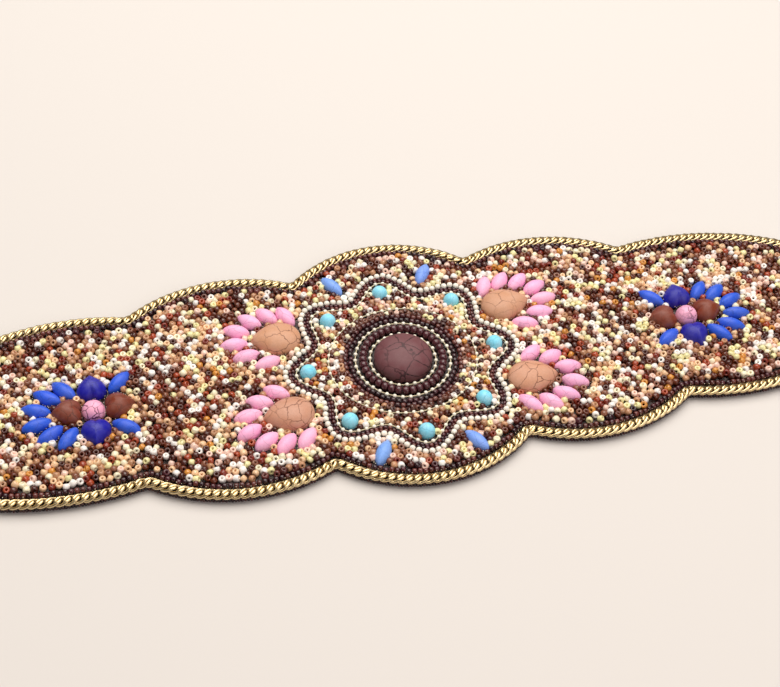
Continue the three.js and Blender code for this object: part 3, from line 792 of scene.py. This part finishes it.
# Pink fans: seven marquise petals of dyed howlite round each tan drop, glued side by side.
# A fan's rows give how far along and away from the drop's middle each petal lies, and the way it points.
PINK_PETAL = (9.9, 5.4, 3.7)
FAR_FAN = (
    (-5.2, 10, 64),
    (1.3, 11.4, 50),
    (7.6, 10, 39),
    (12.9, 6.3, 22),
    (14.6, 0.4, 2),
    (11.4, -5.6, -9),
    (4.6, -9.8, -16),
)
NEAR_FAN = (
    (-4.2, 10.8, 50),
    (3, 11.5, 45),
    (9.2, 9.2, 30),
    (14, 4.5, 24),
    (13.4, -2.2, 8),
    (8.6, -7.4, -18),
    (2.3, -10.4, -32),
)


def petal_fan(name, pattern, outline, rows, middle, outwards, side, colour):
    """Petals of one outline set round a middle, as one piece."""
    spots = [placed(*row, outwards, side) for row in rows]
    places = np.array([middle + place for place, _ in spots])
    angles = np.array([angle for _, angle in spots])
    for place, angle in zip(places, angles):
        bar_seeds(outline, place, angle)
    sizes = chance.normal(1, 0.02, (len(rows), 3))
    return set_stones(name, pattern, places, angles, colour, sizes, 0.035)


pink_stone = dyed_stone("dyed_pink_howlite", "#B87A9C", 4.2, 0.14, 0.5, 0.42, 0.12)
petal_pattern, pink_outline = domed_stone("petal_pattern", marquise_outline, PINK_PETAL, 36)
for quarter, outwards, side, drop_row, _ in QUARTERS:
    middle, _ = placed(*drop_row, outwards, side)
    rows = FAR_FAN if side > 0 else NEAR_FAN
    name = "pink_petals_" + quarter
    fan = petal_fan(name, petal_pattern, pink_outline, rows, middle, outwards, side, "#FFB3DB")
    fit(fan, pink_stone, "pink_stone", "pink_fan_" + quarter)
discard(petal_pattern)


# Blue flowers: a pink round between four hearts, two brown and two dark blue, with eight blue petals.
ROUND = (7.8, 7.8, 5.4)
HEART = (10.2, 10.0, 4.4)
BLUE_PETAL = (10.5, 5.0, 3.7)
HEART_WAVES = (-0.8, 12, 2, -1.6, 0.6)
HEART_REACH = 12.2
HEART_FULLNESS = 2.4
# The hearts meet the round all about, and no bead's middle fits in this oval or this near it.
HEART_GATHER = (11.4, 11.0)
HEART_GAP = 0.7
FLOWERS = (("left", -1, -106.5 - 1.6j), ("right", 1, 105.3 - 0.9j))
# How far along and away from its flower's middle each heart and petal lies, and the way it points.
HEARTS = (
    ("brown_heart_outer", 8.6, 1.2, 2),
    ("brown_heart_inner", -8.7, 1, 180),
    ("dark_blue_heart_far", -0.2, 9.8, 90),
    ("dark_blue_heart_near", 0, -8.9, -86),
)
OUTER_PETALS = (
    (8.9, 10.9, 48),
    (14.5, 8.8, 35),
    (18.5, 4.1, 20),
    (18.7, -2.1, -12),
    (14.7, -6.8, -30),
    (9.2, -9.7, -52),
)
INNER_PETALS = (("blue_petal_far", -9.5, 10.9, 135), ("blue_petal_near", -9.9, -8.3, -148))


def heart_outline(length, width, sides):
    """A heart curve of four cosine waves: two lobes with a notch between them, and a pointed tip."""
    waves = [size * np.cos(i * full_turn(sides)) for i, size in enumerate(HEART_WAVES)]
    sideways = oval_outline(length, width, sides, HEART_FULLNESS).imag
    return length / 2 * sum(waves) / HEART_REACH + 1j * sideways


brown_stone = dyed_stone("dyed_brown_stone", "#3A1E16", 4.5, 0.16, 0.5, 0.44, 0.05)
dark_blue_stone = dyed_stone("dyed_dark_blue_stone", "#17165E", 5.0, 0.16, 0.35, 0.42, 0.04)
blue_stone = dyed_stone("dyed_blue_howlite", "#1B367E", 6.0, 0.16, 0.35, 0.42, 0.05)
pink_crackle = dyed_stone("dyed_pink_crackle_stone", "#6A3850", 2.8, 0.17, 1.0, 0.42, 0.08)
heart_pattern, heart_line = domed_stone("heart_pattern", heart_outline, HEART, 48)
# Tumbling has worn the crease that runs up from the notch.
# Smoothing draws the stone in, so it is sized again.
apply_modifier(heart_pattern, "SMOOTH", factor=0.5, iterations=24)
select_only(heart_pattern)
heart_pattern.dimensions = [size * MM for size in HEART]
bpy.ops.object.transform_apply(location=False, rotation=False, scale=True)
petal_pattern, blue_outline = domed_stone("petal_pattern", marquise_outline, BLUE_PETAL, 36)
round_pattern, _ = domed_stone("round_pattern", oval_outline, ROUND, 36)
# Each kind of stone's pattern, outline, colour, tilt, material and slot.
KINDS = {
    "brown": (heart_pattern, heart_line, "#7C331A", 0.02, brown_stone, "brown_stone"),
    "dark": (heart_pattern, heart_line, "#120F9C", 0.02, dark_blue_stone, "dark_blue_stone"),
    "blue": (petal_pattern, blue_outline, "#2459DC", 0.03, blue_stone, "blue_stone"),
}
for flower, outwards, middle in FLOWERS:
    stone = set_stones("round_stone_" + flower, round_pattern, middle, 0.0, "#FAAED2", tilt=0.01)
    fit(stone, pink_crackle, "pink_stone", "pink_round_" + flower)
    bar_seeds(oval_outline(*HEART_GATHER, 36), middle, 0, HEART_GAP)
    for stone, *row in (*HEARTS, *INNER_PETALS):
        place, angle = placed(*row, outwards, 1)
        pattern, outline, colour, tilt, *finish = KINDS[stone.split("_")[0]]
        name, node = f"{stone}_stone_{flower}", f"{stone}_{flower}"
        glue_stone(name, pattern, outline, middle + place, angle, colour, tilt, *finish, node)
    name = "blue_petals_" + flower
    fan = petal_fan(name, petal_pattern, blue_outline, OUTER_PETALS, middle, outwards, 1, "#2459DC")
    fit(fan, blue_stone, "blue_stone", "blue_fan_" + flower)
discard(petal_pattern, heart_pattern, round_pattern)


# Edge row: a row of dark plum rocailles just inside the chain, sewn one by one.
# The first beads of the mix beyond it are often dark too.
EDGE_SEED = 1.85
EDGE_ROW = 4.85
EDGE_PITCH = 1.86
EDGE_Z = 3.2
EDGE_SHADE = 1.7
EDGE_SHADE_SHARE = 0.2
# The glass colours of the mix, each one's share, and whether it counts as dark.
SEED_COLOURS = (
    ("#F8F0EA", 0.12, 0),
    ("#F6EACA", 0.09, 0),
    ("#EFE4AA", 0.09, 0),
    ("#EDC298", 0.10, 0),
    ("#F3CDBC", 0.08, 0),
    ("#BB8864", 0.08, 0),
    ("#86513A", 0.08, 1),
    ("#60270F", 0.13, 1),
    ("#491708", 0.12, 1),
    ("#A2401F", 0.06, 1),
    ("#D08A38", 0.025, 0),
    ("#7C2410", 0.045, 1),
)
# The mix turns darker and paler in patches this wide, its dark colours' shares by up to so much.
PATCH = 28
PATCH_CONTRAST = 0.32


def mixed_tints(spots):
    """The bead mix, from white to plum, with darker and paler patches a few centimetres across."""
    kinds = np.array([linear(code) for code, _, _ in SEED_COLOURS])
    share = np.array([share for _, share, _ in SEED_COLOURS])
    dark = np.array([dark for _, _, dark in SEED_COLOURS])
    wave = np.sin(spots.real / PATCH * 6.3 + 1.1) + np.sin(spots.imag / PATCH * 5.1 + spots.real / PATCH * 2)
    lean = np.clip(1 + PATCH_CONTRAST * wave, 0.4, 1.8)[:, None]
    weight = share * np.where(dark, lean, 1)
    reach = np.cumsum(weight / weight.sum(axis=1, keepdims=True), axis=1)
    picked = (chance.random((len(spots), 1)) > reach).sum(axis=1).clip(0, len(kinds) - 1)
    return kinds[picked] * chance.normal(1, 0.05, (len(spots), 1))


edge_seed = turn_bead("edge_seed", seed_wall(EDGE_SEED, 1.55, 0.6), 10)
edge_row_loop = smooth_loop(panel_loop(EDGE_ROW, LOOP_STEP), 3)
edge_row = string_beads("edge_row", edge_seed, edge_row_loop, EDGE_PITCH, EDGE_Z, dark_tints, wander=0.16)
fit(edge_row, dark_glass, "dark_seeds", "seed_field")
discard(edge_seed)


# Bead fields: rocailles of mixed colour, sewn and glued down at random so that they lie every way.
# They fill all that the stones, strings and rows leave, on a bed of dried clear glue.
SEED = 2.45
SEED_HEIGHT = 1.95
SEED_HOLE = 0.68
HOLE_UP_SHARE = 0.3
STAR_SEED_SIZE = 0.97
EYE_SEED_SIZE = 0.94
FIELD_INSET = 6.15
FIELD_Z = 3.45
STAR_Z = 3.35
# How far apart the beads of a field are laid at first, and how far they are then pushed apart.
FIELD_GAPS = (2.4, 2.33)
STAR_GAPS = (2.3, 2.24)
EYE_GAPS = (2.15, 2.05)
# How far their middles keep from the lines round them: the edge row, the star's rows, a ball string.
EDGE_CLEARANCE = 0.75
ROW_CLEARANCE = 2.15
STRING_CLEARANCE = 1.7
CORNER_CLEARANCE = 1.35
# How far off their even grid they are laid, and how much closer to a line than its clearance they may stay.
STRAY = 0.6
SLACK = 0.28


def inside(points, loop):
    """Whether each point lies within a closed loop."""
    within = np.zeros(len(points), bool)
    for a, b in zip(loop, np.roll(loop, -1)):
        if a.imag == b.imag:
            continue
        spans = (a.imag > points.imag) != (b.imag > points.imag)
        cross = a.real + (b.real - a.real) * (points.imag - a.imag) / (b.imag - a.imag)
        within ^= spans & (points.real < cross)
    return within


def settle(points, barriers, reach, rounds=14):
    """Pushes beads apart, and off the barriers, until they lie as if packed by hand."""
    fixed = np.concatenate([loop for loop, _ in barriers])
    keep_off = np.concatenate([np.full(len(loop), gap) for loop, gap in barriers])
    count = len(points)
    points = points.copy()
    for _ in range(rounds):
        tree = kdtree.KDTree(count + len(fixed))
        every = np.concatenate([points, fixed])
        for i, point in enumerate(every):
            tree.insert((point.real, point.imag, 0), i)
        tree.balance()
        pairs = [
            (i, j)
            for i, point in enumerate(points)
            for _, j, _ in tree.find_range((point.real, point.imag, 0), reach + 0.9)
            if j != i
        ]
        first, second = np.array(pairs).T
        still = second >= count
        limit = np.where(still, keep_off[np.clip(second - count, 0, None)], reach)
        share = np.where(still, 0.9, 0.45)
        for _ in range(4):
            every = np.concatenate([points, fixed])
            apart = every[first] - every[second]
            distance = np.abs(apart) + 1e-6
            push = np.clip(limit - distance, 0, None) / distance * apart * share
            points.real += np.bincount(first, push.real, count) * 0.5
            points.imag += np.bincount(first, push.imag, count) * 0.5
    return points


def fill(half, gaps, edge, barriers):
    """Beads' places inside an edge, which the first barrier follows, and outside the other barriers."""
    spacing, reach = gaps

    def allowed(places):
        free = inside(places, edge)
        for loop, _ in barriers[1:]:
            free &= ~inside(places, loop)
        return free

    columns = np.arange(-half.real, half.real, spacing)
    rows = np.arange(-half.imag, half.imag, spacing * math.sqrt(0.75))
    grid = columns[None, :] + 1j * rows[:, None]
    grid[1::2] += spacing / 2
    points = grid.ravel()
    points = points + chance.normal(0, STRAY, len(points)) + 1j * chance.normal(0, STRAY, len(points))
    points = settle(points[allowed(points)], barriers, reach)
    points = points[allowed(points)]
    near = np.full(len(points), True)
    for loop, gap in barriers:
        near &= np.abs(points[:, None] - loop[None, :]).min(axis=1) > gap - SLACK
    return points[near]


def strewn_seeds(name, pattern, points, tints, node, height, sizes=1.0):
    """Seed beads lying every way, about a third of them with the hole up."""
    count = len(points)
    upright = chance.random(count) < HOLE_UP_SHARE
    lean = np.where(upright, chance.uniform(0, 0.6, count), chance.uniform(0.8, 1.57, count))
    turn = chance.uniform(0, 2 * math.pi, count)
    axes = vectors(np.sin(lean) * np.exp(1j * turn), np.cos(lean))
    across = vectors(1j * np.exp(1j * turn))
    turns = frames(across, axes)
    grown = chance.normal(1, 0.045, (count, 1)) * np.ones(3) * sizes
    grown[:, 2] *= chance.uniform(0.86, 1.1, count)
    heights = height + chance.normal(0, 0.16, count)
    piece = strew(name, pattern, vectors(points, heights), turns, grown, np.clip(tints, 0, 1))
    return fit(piece, seed_glass, "seed_mix", node)


seed = turn_bead("seed", seed_wall(SEED, SEED_HEIGHT, SEED_HOLE), 12)
field_edge = panel_loop(FIELD_INSET, BARRIER_STEP)
edge_barrier = (even_loop(field_edge, BARRIER_STEP), EDGE_CLEARANCE)
star_outside = star_loop(STAR_ROW, BARRIER_STEP)
field = fill(165 + 60j, FIELD_GAPS, field_edge, [edge_barrier, (star_outside, ROW_CLEARANCE), *seed_barriers])
tints = mixed_tints(field)
to_edge = np.abs(field[:, None] - field_edge[None, :]).min(axis=1)
shaded = chance.random(len(field)) < np.where(to_edge < EDGE_SHADE, EDGE_SHADE_SHARE, 0.0)
tints[shaded] = dark_tints(field[shaded])
bands = (("far_left", -170, -60), ("left", -60, 0), ("right", 0, 60), ("far_right", 60, 170))
for name, low, high in bands:
    here = (field.real >= low) & (field.real < high)
    strewn_seeds("field_seeds_" + name, seed, field[here], tints[here], "seed_field", FIELD_Z)

star_inside = star_loop(-STAR_ROW, BARRIER_STEP)
eye_outside = even_loop(eye_loop, BARRIER_STEP)
strings = [(star_inside, STRING_CLEARANCE), (eye_outside, STRING_CLEARANCE)]
star_points = fill(42 + 42j, STAR_GAPS, star_inside, [*strings, *seed_barriers[: len(DOTS)]])
strewn_seeds("star_seeds", seed, star_points, mixed_tints(star_points), "star_field", STAR_Z, STAR_SEED_SIZE)

# The two dark rings round the outer ball ring: radius and glass colours.
# Their beads are fatter than the star's.
DARK_RINGS = (
    ("eye_plum_ring", 18.3, ("#3C1E24", "#2E171B", "#4C242A")),
    ("eye_brown_ring", 20.15, ("#54282A", "#64342E", "#421C20", "#734036")),
)
FAT = 1.3
FAT_PITCH = 1.92
for name, radius, codes in DARK_RINGS:
    tints = pick_tints(codes, even_loop(radius * circle, FAT_PITCH))
    row = string_beads(name, dark_seed, radius * circle, FAT_PITCH, DARK_Z, tints, FAT, 0.16)
    fit(row, dark_glass, "dark_seeds", "eye_dark_field")
dark_outside = even_loop(radius * circle, BARRIER_STEP)


def eye_tints(spots):
    """Brown above and below the rings, mixed with the rest towards the eye's two corners."""
    picked = pick_tints(("#5A3328", "#6E4234", "#4A2A26", "#7C5040"), spots)
    mix = chance.random(len(spots)) < np.clip((np.abs(spots.real) - 10) / 10, 0.04, 0.75)
    return np.where(mix[:, None], mixed_tints(spots), picked)


eye_barriers = [(eye_outside, CORNER_CLEARANCE), (dark_outside, STRING_CLEARANCE)]
eye_points = fill(27 + 27j, EYE_GAPS, eye_outside, eye_barriers)
tints = eye_tints(eye_points)
strewn_seeds("eye_seeds", seed, eye_points, tints, "eye_dark_field", DARK_Z, EYE_SEED_SIZE)
discard(seed, cream_seed, dark_seed)

# Dried clear fabric glue over dark felt: brown-black, wet-looking and lumpy at bead size.
BED_INSET = 3.6
BED_BOTTOM = 2.05
BED_TOP = 2.55
bed_outline = panel_loop(BED_INSET, 1.5)
glue_bed = raise_outline("glue_bed", bed_outline, [(BED_BOTTOM, 1), (BED_TOP, 1)])
glue_finish, tree = new_material("dried_clear_glue", IOR=1.48, Coat_Weight=0.15, Coat_Roughness=0.1)
place = add_node(tree, "TexCoord", {}, "Object")
lumps = add_node(tree, "TexNoise", {"Vector": place, "Scale": per_mm(1.1), "Detail": 4.0, "Roughness": 0.6})
stain = add_node(tree, "TexNoise", {"Vector": place, "Scale": per_mm(3.5), "Detail": 2.0})
tone = add_node(tree, "Mix", {0: stain, 6: rgba("#100605"), 7: rgba("#351A14")}, 2, data_type="RGBA")
relief = add_node(tree, "Bump", {"Height": lumps, "Strength": 1.0, "Distance": 0.7 * MM})
rough = add_node(tree, "MapRange", {"Value": stain, "To Min": 0.1, "To Max": 0.35})
dress(tree, Base_Color=tone, Roughness=rough, Normal=relief)
fit(glue_bed, glue_finish, "felt", "seed_field")

# The glue also stands in clear droplets, half a millimetre across or less, round the stones and
# along the chain.
DROPLET = 0.5
DROPLET_SHARE = 0.55
DROPLET_INSET = 4.0
DROPLET_PITCH = 1.6
# Ranges of a droplet's distance from its stone, of its height and of its size.
DROPLET_OUT = (0.2, 0.8)
DROPLET_HEIGHTS = (3.3, 4.0)
DROPLET_SIZES = (0.5, 1.0)
sphere_add = bpy.ops.mesh.primitive_ico_sphere_add
droplet = add_primitive(sphere_add, "droplet", subdivisions=1, radius=DROPLET / 2 * MM)
bpy.ops.object.mode_set(mode="EDIT")
bpy.ops.transform.resize(value=(1, 1, 0.75))
bpy.ops.object.mode_set(mode="OBJECT")
squeezed = [panel_loop(DROPLET_INSET, DROPLET_PITCH)]
for loop, gap in seed_barriers:
    if gap > HEART_GAP:
        outwards = (loop - loop.mean()) / abs(loop - loop.mean())
        squeezed.append(loop + outwards * chance.uniform(*DROPLET_OUT, len(loop)))
squeezed = np.concatenate(squeezed)
squeezed = squeezed[chance.random(len(squeezed)) < DROPLET_SHARE]
heights = chance.uniform(*DROPLET_HEIGHTS, len(squeezed))
turns = np.tile(np.eye(3), (len(squeezed), 1, 1))
grown = chance.uniform(*DROPLET_SIZES, (len(squeezed), 1))
droplets = strew("glue_droplets", droplet, vectors(squeezed, heights), turns, grown)
discard(droplet)
# Smooth glue, amber in places; the pale cream elsewhere is a painted glint, standing in for light caught by
# clear glue.
droplet_glint_finish, tree = new_material("glue_droplets_painted_glint", Roughness=0.06, IOR=1.48, Coat_Weight=1.0)
place = add_node(tree, "TexCoord", {}, "Object")
amber_and_painted_glint = add_node(tree, "TexNoise", {"Vector": place, "Scale": per_mm(4)})
tone = add_node(tree, "Mix", {0: amber_and_painted_glint, 6: rgba("#8E6A48"), 7: rgba("#EFE3CE")}, 2, data_type="RGBA")
dress(tree, Base_Color=tone)
fit(droplets, droplet_glint_finish, "felt")


# Edge chain: gold-plated brass curb chain, 4 mm wide, glued all round on top of the felt.
# Each oval link is twisted so that it lies flat in the next, and its faces are filed flat.
LINK_PITCH = 2.85
LINK_HALF_LENGTH = 2.42
LINK_HALF_WIDTH = 1.3
LINK_SLANT = 18
LINK_LIFT = -0.62
LINK_STEPS = 18
WIRE_SIDES = 6
WIRE = 1.2
FILED = 0.84
CHAIN_Z = 3.08
CHAIN_INSET = 2.0

link, points, out = wire_ring("link", LINK_STEPS, WIRE_SIDES, WIRE)
turn = (np.arange(LINK_STEPS) / LINK_STEPS * 2 * math.pi)[:, None]
normal = LINK_HALF_WIDTH * np.cos(turn) + 1j * LINK_HALF_LENGTH * np.sin(turn)
normal /= abs(normal)
height = points[:, :, 2] + LINK_LIFT * np.sin(2 * turn) * MM
points[:, :, 0] = LINK_HALF_LENGTH * np.cos(turn) * MM + normal.real * out
points[:, :, 1] = LINK_HALF_WIDTH * np.sin(turn) * MM + normal.imag * out
points[:, :, 2] = np.clip(height, -FILED * MM, FILED * MM)
link.data.vertices.foreach_set("co", points.ravel())

chain_loop = smooth_loop(panel_loop(CHAIN_INSET, LOOP_STEP), 3)
chain_spots = even_loop(chain_loop, LINK_PITCH)
chain_up = np.tile(UP, (len(chain_spots), 1)) + chance.normal(0, 0.03, (len(chain_spots), 3))
link_ahead = vectors(headings(chain_spots) * np.exp(1j * math.radians(LINK_SLANT)))
chain_links = strew("curb_chain", link, vectors(chain_spots, CHAIN_Z), frames(link_ahead, chain_up))
discard(link)

# Gold-plated brass, polished: warm yellow, bright on its facets and a little dull in patches.
gold_finish, tree = new_material("gold_plated_brass", Metallic=1.0)
place = add_node(tree, "TexCoord", {}, "Object")
wear = add_node(tree, "TexNoise", {"Vector": place, "Scale": per_mm(2.2), "Detail": 4.0})
tone = add_node(tree, "Mix", {0: wear, 6: rgba("#C8A873"), 7: rgba("#EAD8AE")}, 2, data_type="RGBA")
rough = add_node(tree, "MapRange", {"Value": wear, "To Min": 0.16, "To Max": 0.36})
dress(tree, Base_Color=tone, Roughness=rough)
fit(chain_links, gold_finish, "gold_chain", "edge_chain")


# Side edging: two rows of tiny dark cut-glass beads sewn to the felt's cut edge, under the chain.
EDGING_HEIGHTS = (0.62, 1.58)
EDGING_INSET = 0.8
EDGING_PITCH = 1.02
CUT_UPPER = [(0.46, 0.26), (0.2, 0.44)]
cut_seed = turn_bead("cut_seed", both_halves(CUT_UPPER), 6)
cut_glass = glass_bead("dark_cut_glass", 0.07, 0.25, 0.3)
edging_loop = smooth_loop(panel_loop(EDGING_INSET, LOOP_STEP), 2)
for number, height in enumerate(EDGING_HEIGHTS, 1):
    spots = even_loop(edging_loop, EDGING_PITCH)
    along = vectors(headings(spots))
    spin = chance.uniform(0, 2 * math.pi, len(spots))[:, None]
    turns = frames(np.cross(UP, along) * np.cos(spin) + UP * np.sin(spin), along)
    spots = vectors(spots, height + chance.normal(0, 0.06, len(spots)))
    # The dark glass colours are darkened to six tenths here: painted shade for the shadow under the chain's
    # overhang.
    tints = dark_tints(spots) * 0.6
    sizes = chance.normal(1, 0.06, (len(spots), 1))
    row = strew(f"side_edging_{number}", cut_seed, spots, turns, sizes, tints, smooth=False)
    fit(row, cut_glass, "dark_seeds")
discard(cut_seed)


# Studio: a plain pale floor under soft lights, and the camera where the photograph was taken.
def area_light(name, place, size, power, colour):
    lamp = bpy.data.lights.new(name, "AREA")
    lamp.size = size
    lamp.energy = power
    lamp.color = linear(colour)
    stand = add_object(name, lamp)
    stand.location = place
    stand.rotation_euler = (-Vector(place)).to_track_quat("-Z", "Y").to_euler()


floor = add_primitive(bpy.ops.mesh.primitive_plane_add, "studio_floor", size=6, location=(0, 0, -0.0002))
# Matt seamless paper in a very pale warm grey.
paper, _ = new_material("seamless_paper", Roughness=0.85, Base_Color=rgba("#DAD3CF"))
floor.data.materials.append(paper)

area_light("overhead", (0.1, 0.4, 1.0), 1.2, 17.8, "#FFFCF4")
area_light("front_fill", (0.5, -0.8, 0.7), 0.8, 3.5, "#FFF6F2")
world = bpy.data.worlds.new("studio_air")
world.use_nodes = True
sky = world.node_tree.nodes["Background"].inputs
sky["Color"].default_value = rgba("#FAF6F4")
sky["Strength"].default_value = 0.2
bpy.context.scene.world = world
bpy.context.scene.view_settings.view_transform = "Standard"

CAMERA_DISTANCE = 0.490
CAMERA_ROLL = math.radians(4.32)
CAMERA_AIM = Vector((0, 0.0011, 0))
back = Vector((-0.1901, -0.6136, 0.7664))
level_right = Vector((0.9552, -0.2959, 0.0))
level_up = Vector((0.2268, 0.7321, 0.6424))
right = math.cos(CAMERA_ROLL) * level_right + math.sin(CAMERA_ROLL) * level_up
top = math.cos(CAMERA_ROLL) * level_up - math.sin(CAMERA_ROLL) * level_right
lens = bpy.data.cameras.new("camera")
lens.sensor_width = 36
lens.lens = 64.6
lens.shift_x = -0.0151
lens.shift_y = 0.0254
lens.clip_start = 0.01
camera = add_object("camera", lens)
stand = Matrix.Translation(CAMERA_AIM + CAMERA_DISTANCE * back)
camera.matrix_world = stand @ Matrix((right, top, back)).transposed().to_4x4()
bpy.context.scene.camera = camera
